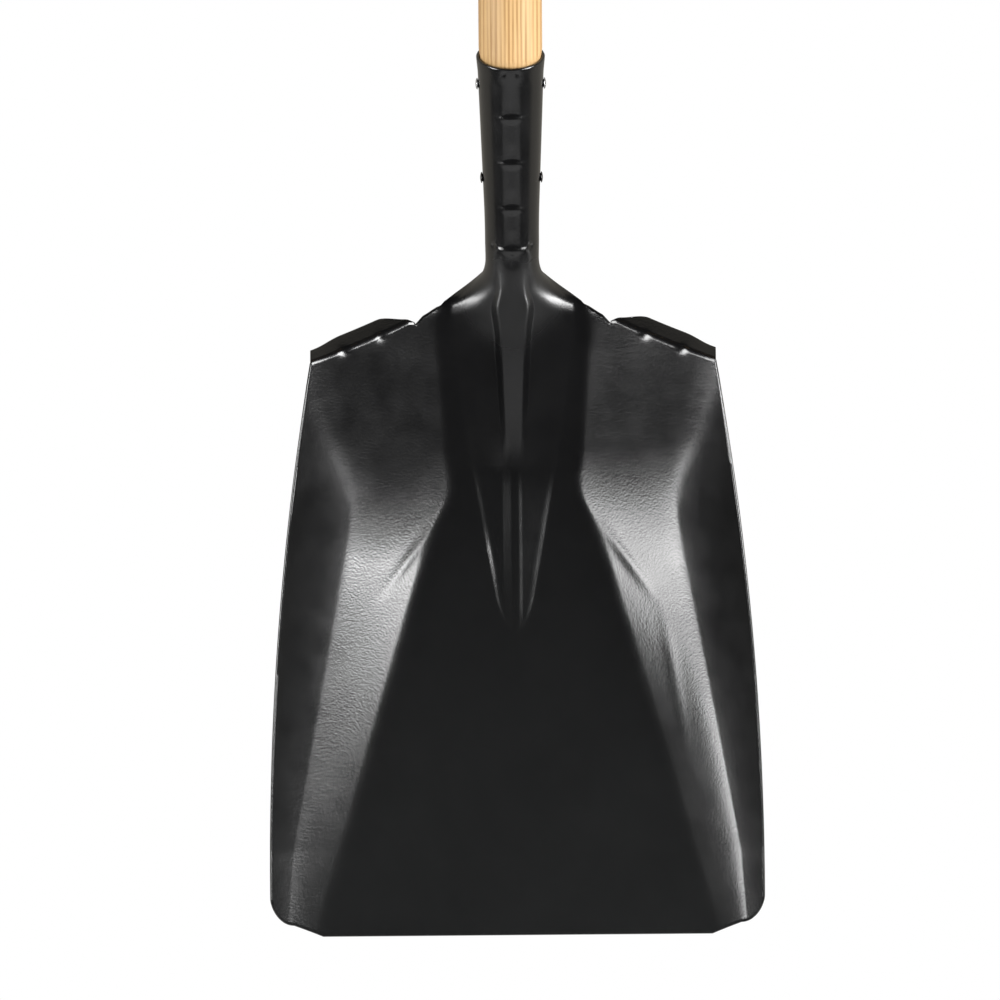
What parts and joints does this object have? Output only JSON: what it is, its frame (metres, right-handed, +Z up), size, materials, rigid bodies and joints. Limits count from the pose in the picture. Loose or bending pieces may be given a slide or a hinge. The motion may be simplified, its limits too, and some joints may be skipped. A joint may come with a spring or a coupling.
{
  "type": "grain scoop shovel",
  "caption": "Wide pressed-steel grain scoop with raised sides and frog, open-back socket on a short ash shaft, and a steel D-grip with a turned crossbar.",
  "frame": {"origin": "on the underside of the grip's crossbar, midway along it, where a hook or the hand carries the shovel", "axes": "+Z up the handle's axis, -Y the way the scoop's hollow side faces, +X to the right seen from the hollow side"},
  "size_m": [0.2926, 0.1565, 1.0683],
  "materials": {
    "painted_steel": "black baked enamel, satin gloss with fine orange peel",
    "ash": "clear-lacquered straight-grained ash",
    "bright_steel": "bright zinc-plated, slightly dulled"
  },
  "bodies": {
    "root": {"blade_socket": "painted_steel", "shaft": "ash", "socket_rivet_upper": "bright_steel", "socket_rivet_lower": "painted_steel", "grip_yoke": "painted_steel", "grip_crossbar": "ash", "grip_rivet": "bright_steel", "grip_washer_left": "bright_steel", "grip_washer_right": "bright_steel", "yoke_rivet_upper": "bright_steel", "yoke_rivet_lower": "bright_steel"}
  },
  "joints": []
}
